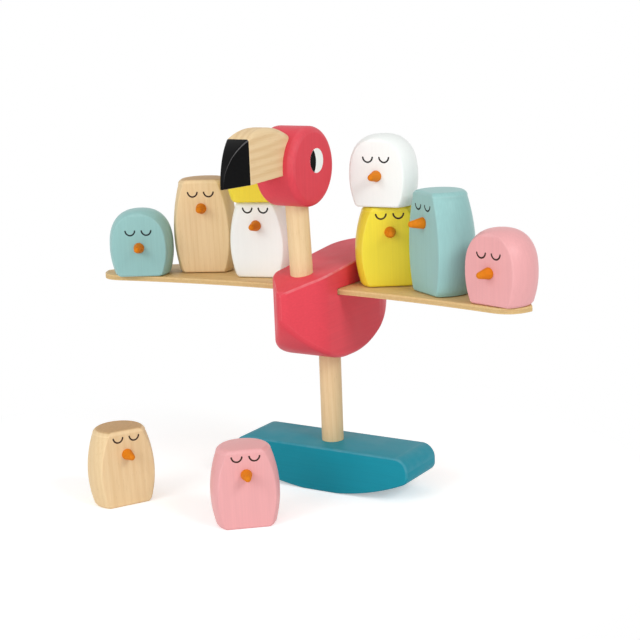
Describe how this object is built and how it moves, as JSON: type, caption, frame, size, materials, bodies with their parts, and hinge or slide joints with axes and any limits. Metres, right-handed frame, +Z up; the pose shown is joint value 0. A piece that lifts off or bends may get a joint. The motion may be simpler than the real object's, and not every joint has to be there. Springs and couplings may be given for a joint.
{
  "type": "balance game",
  "caption": "Wooden flamingo on a curved rocker foot with a plywood wing plank through its body, and barrel-shaped birds with peg beaks that are stacked and balanced on the wing.",
  "frame": {"origin": "middle of the flat under the rocker, straight under the leg", "axes": "+Z up, X along the wing plank, the flamingo looks along -Y"},
  "size_m": [0.2674, 0.1456, 0.2023],
  "materials": {
    "bare_wood": "bare",
    "plywood": "bare",
    "red_paint": "satin paint",
    "sea_paint": "satin paint",
    "white_paint": "satin paint",
    "yellow_paint": "satin paint",
    "pale_teal_paint": "satin paint",
    "pink_paint": "satin paint",
    "orange_paint": "satin paint"
  },
  "bodies": {
    "flamingo": {"rocker_base": "sea_paint", "leg_dowel": "bare_wood", "body_block": "red_paint", "neck_dowel": "bare_wood", "head_block": "red_paint", "beak_block": "bare_wood", "beak_pin": "bare_wood"},
    "wing": {"wing_plank": "plywood"},
    "teal_short": {"teal_short_body": "pale_teal_paint", "teal_short_beak": "orange_paint"},
    "natural_tall": {"natural_tall_body": "bare_wood", "natural_tall_beak": "orange_paint"},
    "white_medium": {"white_medium_body": "white_paint", "white_medium_beak": "orange_paint"},
    "yellow_short": {"yellow_short_body": "yellow_paint", "yellow_short_beak": "orange_paint"},
    "yellow_medium": {"yellow_medium_body": "yellow_paint", "yellow_medium_beak": "orange_paint"},
    "white_short": {"white_short_body": "white_paint", "white_short_beak": "orange_paint"},
    "teal_tall": {"teal_tall_body": "pale_teal_paint", "teal_tall_beak": "orange_paint"},
    "pink_short": {"pink_short_body": "pink_paint", "pink_short_beak": "orange_paint"},
    "natural_medium": {"natural_medium_body": "bare_wood", "natural_medium_beak": "orange_paint"},
    "pink_medium": {"pink_medium_body": "pink_paint", "pink_medium_beak": "orange_paint"}
  },
  "joints": [
    {"name": "wing_slide", "type": "slide", "parent": "flamingo", "child": "wing", "axis": [1, 0, 0], "range_m": [0, 0.009]},
    {"name": "teal_short_lift", "type": "slide", "parent": "wing", "child": "teal_short", "axis": [0, 0, 1], "range_m": [0, 0.095]},
    {"name": "natural_tall_lift", "type": "slide", "parent": "wing", "child": "natural_tall", "axis": [0, 0, 1], "range_m": [0, 0.095]},
    {"name": "white_medium_lift", "type": "slide", "parent": "wing", "child": "white_medium", "axis": [0, 0, 1], "range_m": [0, 0.095]},
    {"name": "yellow_short_lift", "type": "slide", "parent": "white_medium", "child": "yellow_short", "axis": [0, 0, 1], "range_m": [0, 0.095]},
    {"name": "yellow_medium_lift", "type": "slide", "parent": "wing", "child": "yellow_medium", "axis": [0, 0, 1], "range_m": [0, 0.095]},
    {"name": "white_short_lift", "type": "slide", "parent": "yellow_medium", "child": "white_short", "axis": [0, 0, 1], "range_m": [0, 0.095]},
    {"name": "teal_tall_lift", "type": "slide", "parent": "wing", "child": "teal_tall", "axis": [0, 0, 1], "range_m": [0, 0.095]},
    {"name": "pink_short_lift", "type": "slide", "parent": "wing", "child": "pink_short", "axis": [0, 0, 1], "range_m": [0, 0.095]},
    {"name": "natural_medium_lift", "type": "slide", "parent": "flamingo", "child": "natural_medium", "axis": [0, 0, 1], "range_m": [0, 0.205]},
    {"name": "pink_medium_lift", "type": "slide", "parent": "flamingo", "child": "pink_medium", "axis": [0, -0.5, 0.866], "range_m": [0, 0.18]}
  ]
}
